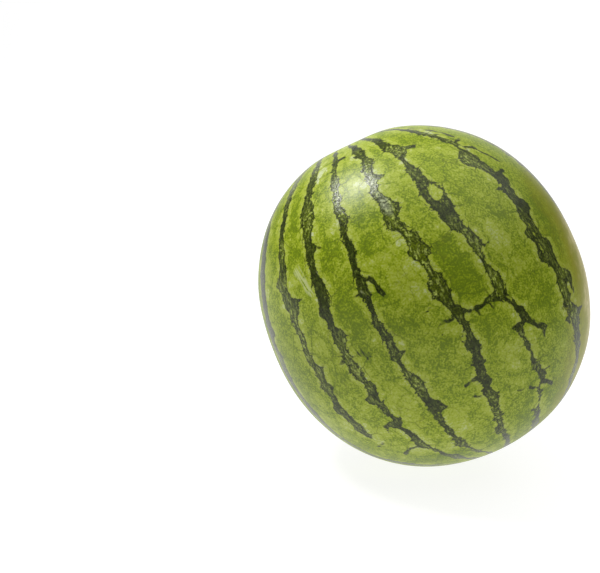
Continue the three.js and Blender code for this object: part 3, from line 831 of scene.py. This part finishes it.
tone = add(tree, "Math", {0: field["cloud"], 1: CLOUD_WEIGHT, 2: BASE_TONE}, operation="MULTIPLY_ADD")
tone = add(tree, "Math", {0: field["pale_spot"], 1: SPOT_WEIGHT, 2: tone}, operation="MULTIPLY_ADD")
for part in (deep, pale, rim, scallop):
    tone = add(tree, "Math", {0: tone, 1: part}, operation="ADD")
print("placed tones start at", BASE_TONE)

# %% [markdown]
# The patterns follow: each lobe is paler in its middle than at its edge, and mottle, threads and
# wriggling lines bring the fine contrast. Pale rind is smoother to the eye, so a share that falls
# as the tone rises weakens both.

# %% Tone from the patterns, and its colours
TONE_SWINGS = ((lobe, 0.1, 0.8, -0.11), (small_lobe, 0.2, 0.8, -0.08),  # pattern, from, to, swing
               (patch, 0.3, 0.7, 0.04), (cell, 0.2, 0.8, 0.08),
               (crease, 0.0, 0.1, 0.1), (small_crease, 0.0, 0.14, 0.05))
FINE_SWINGS = ((mottle, 0.3, 0.62, -0.13, 0.08),    # pattern, from, to, deepest, palest
               (thread, 0.34, 0.6, -0.38, 0.15),
               (off_line, 0.0, 0.05, -0.14, 0.01))
TONE_SHARE = {1: 0.52, 2: 0.75, 3: 1.0, 4: 0.35}    # tone, to share
FINE_SHARE = {1: 0.42, 2: 0.72, 3: 1.35, 4: 0.35}
LIGHT_TONES = (("#667b00", 0.0), ("#7c9008", 0.25), ("#8d9e12", 0.5), ("#a3b03c", 0.75), ("#bdc696", 1.0))

share = add(tree, "MapRange", {"Value": tone, **TONE_SHARE})
for pattern, least, most, swing in TONE_SWINGS:
    shift = add(tree, "MapRange", {"Value": pattern, 1: least, 2: most, 3: -swing / 2, 4: swing / 2})
    tone = add(tree, "Math", {0: shift, 1: share, 2: tone}, operation="MULTIPLY_ADD")
fine_share = add(tree, "MapRange", {"Value": tone, **FINE_SHARE})
for pattern, least, most, deepest, palest in FINE_SWINGS:
    shift = add(tree, "MapRange", {"Value": pattern, 1: least, 2: most, 3: deepest, 4: palest})
    tone = add(tree, "Math", {0: shift, 1: fine_share, 2: tone}, operation="MULTIPLY_ADD")

light_colour = add(tree, "ValToRGB", {"Fac": tone}, "Color")
ramp = light_colour.node.color_ramp
while len(ramp.elements) < len(LIGHT_TONES):
    ramp.elements.new(0.5)
for element, (colour, position) in zip(ramp.elements, LIGHT_TONES):
    element.position = position
    element.color = linear(colour)
print("tones of the light rind", len(LIGHT_TONES))

# %% [markdown]
# Fine dark veins run in the creases between lobes, more of them near a stripe. They come and go: a
# patch or the mottle breaks them.

# %% Veins of the light rind
VEIN_COLOUR, SMALL_VEIN_COLOUR = "#47560a", "#5a6c00"
VEIN_WIDTH = {1: 0.0, 2: 0.035, 3: 1.0, 4: 0.0}     # crease, to share
VEIN_BREAKS = {1: 0.42, 2: 0.6, 3: 0.0, 4: 1.0}     # patch, to share
NEAR_STRIPE = {1: -16.0, 2: -1.0, 3: 0.12, 4: 0.75}     # depth in mm, to share
SMALL_VEIN_WIDTH = {1: 0.0, 2: 0.09, 3: 1.0, 4: 0.0}
SMALL_VEIN_BREAKS = {1: 0.42, 2: 0.6, 3: 0.0, 4: 0.45}

broken = add(tree, "MapRange", {"Value": patch, **VEIN_BREAKS})
near_stripe = add(tree, "MapRange", {"Value": field["stripe_depth"], **NEAR_STRIPE})
vein = add(tree, "MapRange", {"Value": crease, **VEIN_WIDTH})
vein = add(tree, "Math", {0: vein, 1: near_stripe}, operation="MULTIPLY")
vein = add(tree, "Math", {0: vein, 1: broken}, operation="MULTIPLY")
light_colour = add(tree, "Mix", {0: vein, 6: light_colour, 7: linear(VEIN_COLOUR)}, 2, data_type="RGBA")

small_broken = add(tree, "MapRange", {"Value": mottle, **SMALL_VEIN_BREAKS})
small_vein = add(tree, "MapRange", {"Value": small_crease, **SMALL_VEIN_WIDTH})
small_vein = add(tree, "Math", {0: small_vein, 1: small_broken}, operation="MULTIPLY")
light_colour = add(tree, "Mix", {0: small_vein, 6: light_colour, 7: linear(SMALL_VEIN_COLOUR)}, 2,
                   data_type="RGBA")
print("nodes so far", len(tree.nodes))

# %% [markdown]
# A stripe is blackish green at its edge. Inside, where wax lies on it, it is grey-green with fine
# light flecks that run along it, and where the wax field is highest a pale bloom hides the green. On
# the stripes of the shoulder that grey and that pale bloom are a painted highlight.

# %% The stripes' colour, with a painted highlight on the shoulder
STRIPE_EDGE, STRIPE_MIDDLE = "#182400", "#4d5a00"
FLECK_COLOUR = "#8a9644"
# Pale silver-grey: thick wax bloom, and on the shoulder's stripes a painted highlight. The wax field also
# carries that painted highlight.
BLOOM_AND_HIGHLIGHT_COLOUR = "#8a9078"
WAX_AND_HIGHLIGHT_WEIGHT = 0.4
WAX_AND_HIGHLIGHT_SHOWS = {1: 0.35, 2: 0.75, 3: 0.1, 4: 1.0}      # patch and wax, to share
INSIDE_EDGE = {1: 0.4, 2: 2.2, 3: 0.0, 4: 1.0}      # depth in mm, to share
FLECK_STEP = {1: 0.48, 2: 0.61, 3: 0.0, 4: 1.0}     # streak, to share
BLOOM_AND_HIGHLIGHT_SHARE = {1: 0.8, 2: 1.3, 3: 0.0, 4: 0.7}      # wax, to share
MOTTLE_GRAIN = {1: 0.3, 2: 0.7, 3: 0.55, 4: 1.35}   # mottle, to brightness
THREAD_GRAIN = {1: 0.3, 2: 0.7, 3: 0.3, 4: 1.75}

wax_and_highlight_share = add(tree, "Math", {0: field["wax_and_highlight"], 1: WAX_AND_HIGHLIGHT_WEIGHT, 2: patch}, operation="MULTIPLY_ADD")
wax_and_highlight_share = add(tree, "MapRange", {"Value": wax_and_highlight_share, **WAX_AND_HIGHLIGHT_SHOWS})
inside = add(tree, "MapRange", {"Value": reach, **INSIDE_EDGE})
flecks = add(tree, "MapRange", {"Value": streak, **FLECK_STEP})
greyed = add(tree, "Math", {0: wax_and_highlight_share, 1: inside}, operation="MULTIPLY")
flecked = add(tree, "Math", {0: greyed, 1: flecks}, operation="MULTIPLY")
stripe_body = add(tree, "Mix", {0: greyed, 6: linear(STRIPE_EDGE), 7: linear(STRIPE_MIDDLE)}, 2,
                  data_type="RGBA")
stripe_colour = add(tree, "Mix", {0: flecked, 6: stripe_body, 7: linear(FLECK_COLOUR)}, 2, data_type="RGBA")
# The bloom is a painted highlight where the lamp's highlight lies on the shoulder, and thick wax elsewhere.
bloom_and_highlight = add(tree, "MapRange", {"Value": field["wax_and_highlight"], **BLOOM_AND_HIGHLIGHT_SHARE})
bloom_and_highlight = add(tree, "Math", {0: bloom_and_highlight, 1: inside}, operation="MULTIPLY")
stripe_colour = add(tree, "Mix", {0: bloom_and_highlight, 6: stripe_colour, 7: linear(BLOOM_AND_HIGHLIGHT_COLOUR)}, 2, data_type="RGBA")
grain = add(tree, "MapRange", {"Value": mottle, **MOTTLE_GRAIN}, clamp=False)
fine_grain = add(tree, "MapRange", {"Value": thread, **THREAD_GRAIN}, clamp=False)
grain = add(tree, "Math", {0: grain, 1: fine_grain}, operation="MULTIPLY")
stripe_colour = add(tree, "VectorMath", {0: stripe_colour, "Scale": grain}, operation="SCALE")
print("nodes so far", len(tree.nodes))

# %% [markdown]
# Towards the ground spot, the light rind turns olive and then cream, and the stripes lose most of
# their dark, with an edge that follows lobes and patches. The field is 0.75 at the spot's rim.

# %% The ground spot's colour, and the stripes laid over the light rind
OLIVE = "#96930c"
CREAM_DEEP, CREAM_PALE = "#bcb056", "#dfd598"
GROUND_EDGE = ((lobe, 0.2, 0.9, 0.1), (small_lobe, 0.2, 0.9, 0.1),      # pattern, from, to, swing
               (patch, 0.3, 0.7, 0.2), (mottle, 0.3, 0.7, 0.08))
TURNING_OLIVE = {1: 0.1, 2: 0.6, 3: 0.0, 4: 0.8}            # field, to share
TURNING_CREAM = {1: 0.58, 2: 0.98, 3: 0.0, 4: 0.95}
KEPT_DARK = {1: 0.6, 2: 1.05, 3: 0.97, 4: 0.15}
GROUND_PATCH_WEIGHT = 0.6
GROUND_MOTTLE = {1: 0.55, 2: 1.05, 3: 0.0, 4: 1.0}

near_ground = field["ground_spot"]
for pattern, least, most, swing in GROUND_EDGE:
    shift = add(tree, "MapRange", {"Value": pattern, 1: least, 2: most, 3: -swing / 2, 4: swing / 2},
                clamp=False)
    near_ground = add(tree, "Math", {0: near_ground, 1: shift}, operation="ADD")
turning = add(tree, "MapRange", {"Value": near_ground, **TURNING_OLIVE})
yellowed = add(tree, "MapRange", {"Value": near_ground, **TURNING_CREAM}, interpolation_type="SMOOTHSTEP")
kept_dark = add(tree, "MapRange", {"Value": near_ground, **KEPT_DARK})
dark_share = add(tree, "Math", {0: dark, 1: kept_dark}, operation="MULTIPLY")
cream = add(tree, "Math", {0: patch, 1: GROUND_PATCH_WEIGHT, 2: mottle}, operation="MULTIPLY_ADD")
cream = add(tree, "MapRange", {"Value": cream, **GROUND_MOTTLE})
cream = add(tree, "Mix", {0: cream, 6: linear(CREAM_DEEP), 7: linear(CREAM_PALE)}, 2, data_type="RGBA")
light_colour = add(tree, "Mix", {0: turning, 6: light_colour, 7: linear(OLIVE)}, 2, data_type="RGBA")
light_colour = add(tree, "Mix", {0: yellowed, 6: light_colour, 7: cream}, 2, data_type="RGBA")
skin_colour = add(tree, "Mix", {0: dark_share, 6: light_colour, 7: stripe_colour}, 2, data_type="RGBA")
print("stripes keep", KEPT_DARK[4], "of their dark in the ground spot")

# %% [markdown]
# Scratches are pale lines over everything, and only inside their bundles.

# %% The scratches' colour
SCRATCH_COLOUR = "#bcc48a"
BUNDLE_EDGE = {1: -0.6, 2: 1.0, 3: 0.0, 4: 1.0}     # depth in mm, to share
SCRATCH_STEP = {1: 0.5, 2: 0.6, 3: 0.0, 4: 0.75}    # noise, to share

in_bundle = add(tree, "MapRange", {"Value": field["scratch_depth"], **BUNDLE_EDGE})
scratched = add(tree, "MapRange", {"Value": scratch_lines, **SCRATCH_STEP})
scratched = add(tree, "Math", {0: scratched, 1: in_bundle}, operation="MULTIPLY")
skin_colour = add(tree, "Mix", {0: scratched, 6: skin_colour, 7: linear(SCRATCH_COLOUR)}, 2,
                  data_type="RGBA")
print("scratch bundles", len(SCRATCHES))

# %% [markdown]
# The stem broke off a disc of cork, grey-brown with darker cracks, and the blossom left a small
# brown button. Both are told from the rind by their arc length from the end.

# %% The scars' colour
CORK_DEEP, CORK_PALE = "#6d5c3c", "#b3a177"
STEM_CORK = {1: 8.6, 2: 9.6, 3: 1.0, 4: 0.0}        # mm from the end, to share
BLOSSOM_CORK = {1: 3.9, 2: 4.7, 3: 1.0, 4: 0.0}

corky = add(tree, "MapRange", {"Value": field["stem_arc"], **STEM_CORK})
button = add(tree, "MapRange", {"Value": field["blossom_arc"], **BLOSSOM_CORK})
scar = add(tree, "Math", {0: corky, 1: button}, operation="MAXIMUM")
cork_colour = add(tree, "Mix", {0: mottle, 6: linear(CORK_DEEP), 7: linear(CORK_PALE)}, 2, data_type="RGBA")
skin_colour = add(tree, "Mix", {0: scar, 6: skin_colour, 7: cork_colour}, 2, data_type="RGBA")
print("cork ends", STEM_CORK[2], "and", BLOSSOM_CORK[2], "mm from its end")

# %% [markdown]
# The wax isn't even: it is thinner where the fruit was rubbed, so its gloss wanders a little. The
# skin has a fine grain, and over the dark stripes the wax is finely crazed.

# %% Gloss and grain
LIGHT_ROUGHNESS = 0.34
STRIPE_ROUGHNESS = 0.23
MOTTLE_ROUGHNESS = 0.12     # added where the mottle is highest
CORK_ROUGHNESS = 0.8
GRAIN_DEPTH = 0.06 * MM
GRAIN_STRENGTH = 0.8
LOBE_RISE = 1.2             # a lobe's height against the mottle's
CRAZE_DEPTH = 0.2 * MM
CRAZE_STRENGTH = {1: 0.0, 2: 1.0, 3: 0.35, 4: 1.0}  # dark, to strength
RIND_IOR = 1.37

gloss = add(tree, "MapRange", {"Value": dark, 1: 0.0, 2: 1.0, 3: LIGHT_ROUGHNESS, 4: STRIPE_ROUGHNESS})
gloss = add(tree, "Math", {0: mottle, 1: MOTTLE_ROUGHNESS, 2: gloss}, operation="MULTIPLY_ADD")
roughness = add(tree, "Mix", {0: scar, 2: gloss, 3: CORK_ROUGHNESS}, 0)
height = add(tree, "Math", {0: lobe, 1: LOBE_RISE, 2: mottle}, operation="MULTIPLY_ADD")
relief = add(tree, "Bump", {"Strength": GRAIN_STRENGTH, "Distance": GRAIN_DEPTH, "Height": height},
             "Normal")
crazed = add(tree, "MapRange", {"Value": dark, **CRAZE_STRENGTH})
craze = add(tree, "Mix", {0: dark, 2: thread, 3: streak}, 0)
relief = add(tree, "Bump", {"Strength": crazed, "Distance": CRAZE_DEPTH, "Height": craze, "Normal": relief},
             "Normal")

tree.links.new(skin_colour, rind_shader.inputs["Base Color"])
tree.links.new(roughness, rind_shader.inputs["Roughness"])
tree.links.new(relief, rind_shader.inputs["Normal"])
rind_shader.inputs["IOR"].default_value = RIND_IOR
print("nodes in the rind's finish", len(tree.nodes))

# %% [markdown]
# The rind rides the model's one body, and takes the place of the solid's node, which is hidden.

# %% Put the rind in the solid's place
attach(rind, "root")
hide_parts("watermelon")

# %% [markdown]
# ## The light table
#
# The fruit lies on a light table: white acrylic lit from below, which curves up into a white wall
# behind, so no edge or horizon shows behind the fruit. It throws light back at the fruit's
# underside and leaves only a faint shadow where the two touch. It ends about a metre to either
# side, out of view, so the rind's edges mirror the dim room there and keep their green.

# %% Light table: a profile drawn out sideways
TABLE_LEFT, TABLE_RIGHT = -1.1, 0.9
TABLE_FRONT, TABLE_BACK = -1.6, 1.9
TABLE_CORNER = 0.5
TABLE_CORNER_STEPS = 13
TABLE_WALL = 1.2
TABLE_GREY, TABLE_GLOW_COLOUR = "#808080", "#ffffff"
TABLE_GLOW = 0.88
TABLE_ROUGHNESS = 0.6

curve = np.radians(np.linspace(0, 90, TABLE_CORNER_STEPS))
profile_y = np.concatenate([[TABLE_FRONT], TABLE_BACK - TABLE_CORNER * (1 - np.sin(curve)), [TABLE_BACK]])
profile_z = np.concatenate([[0.0], TABLE_CORNER * (1 - np.cos(curve)), [TABLE_WALL]])
edges = [np.stack([np.full(len(profile_y), x), profile_y, profile_z], -1)
         for x in (TABLE_LEFT, TABLE_RIGHT)]
left = np.arange(len(profile_y) - 1)
right = left + len(profile_y)

table_mesh = bpy.data.meshes.new("light_table")
table_mesh.from_pydata(np.concatenate(edges).tolist(), [],
                       np.stack([left, right, right + 1, left + 1], -1).tolist())
table_mesh.polygons.foreach_set("use_smooth", [True] * len(table_mesh.polygons))
floor = bpy.data.objects.new("light_table", table_mesh)
bpy.context.scene.collection.objects.link(floor)
table_finish, table_shader = start_material("backlit_white_acrylic")
table_shader.inputs["Base Color"].default_value = linear(TABLE_GREY)
table_shader.inputs["Roughness"].default_value = TABLE_ROUGHNESS
table_shader.inputs["Emission Color"].default_value = linear(TABLE_GLOW_COLOUR)
table_shader.inputs["Emission Strength"].default_value = TABLE_GLOW
table_mesh.materials.append(table_finish)
print("table", TABLE_RIGHT - TABLE_LEFT, "m wide")

# %% [markdown]
# A wide scrim overhead lights the fruit evenly, a small lamp high on the left gives the silver
# sheen on its shoulder, and the room, dimmer than the table, fills the rest.

# %% Lamps and room
SCRIM = {"towards": (0.35, 0, 1), "distance": 1.5, "size": 2.0, "watts": 14.5}
KEY = {"towards": (-0.53, 0.05, 0.846), "distance": 1.2, "size": 0.31, "watts": 13.5}
ROOM_COLOUR = "#ffffff"
ROOM_BRIGHTNESS = 0.15

centre = Vector(((box_low + box_high) / 2).tolist())


def softbox(name, towards, distance, size, watts):
    """A square area lamp that faces the fruit's centre, at a distance towards a direction, in metres."""
    lamp_data = bpy.data.lights.new(name, "AREA")
    lamp_data.size = size
    lamp_data.energy = watts
    lamp = bpy.data.objects.new(name, lamp_data)
    bpy.context.scene.collection.objects.link(lamp)
    lamp_place = centre + Vector(towards).normalized() * distance
    facing = (lamp_place - centre).to_track_quat("Z", "Y").to_matrix().to_4x4()
    lamp.matrix_world = Matrix.Translation(lamp_place) @ facing


softbox("overhead_scrim", **SCRIM)
softbox("key_softbox", **KEY)

room = bpy.data.worlds.new("pale_room")
bpy.context.scene.world = room
room.use_nodes = True
room.node_tree.nodes["Background"].inputs["Color"].default_value = linear(ROOM_COLOUR)
room.node_tree.nodes["Background"].inputs["Strength"].default_value = ROOM_BRIGHTNESS
bpy.context.scene.view_settings.view_transform = "Standard"
print("lamps", [item.name for item in bpy.data.lights])

# %% [markdown]
# ## The camera
#
# A portrait lens at arm's length, a little above the fruit and looking slightly down. The fruit
# stands right of the middle, so the camera is turned to the left of it.

# %% Camera
LENS = 72.82          # mm
SENSOR_WIDTH = 36.0   # mm
CAMERA_DISTANCE = 0.780
CAMERA_HEIGHT_ANGLE = 13.0      # degrees
LOOK_DOWN = 12.70
TURN_LEFT = 5.90

camera_data = bpy.data.cameras.new("camera")
camera_data.sensor_width = SENSOR_WIDTH
camera_data.lens = LENS
camera_data.dof.use_dof = False
camera = bpy.data.objects.new("camera", camera_data)
bpy.context.scene.collection.objects.link(camera)
rise = radians(CAMERA_HEIGHT_ANGLE)
middle_height = Vector((0, 0, (box_low[2] + box_high[2]) / 2))
camera.location = middle_height + CAMERA_DISTANCE * Vector((0, -cos(rise), sin(rise)))
camera.rotation_euler = (radians(90 - LOOK_DOWN), 0, radians(TURN_LEFT))
bpy.context.scene.camera = camera
print("camera at", [round(value, 3) for value in camera.location])
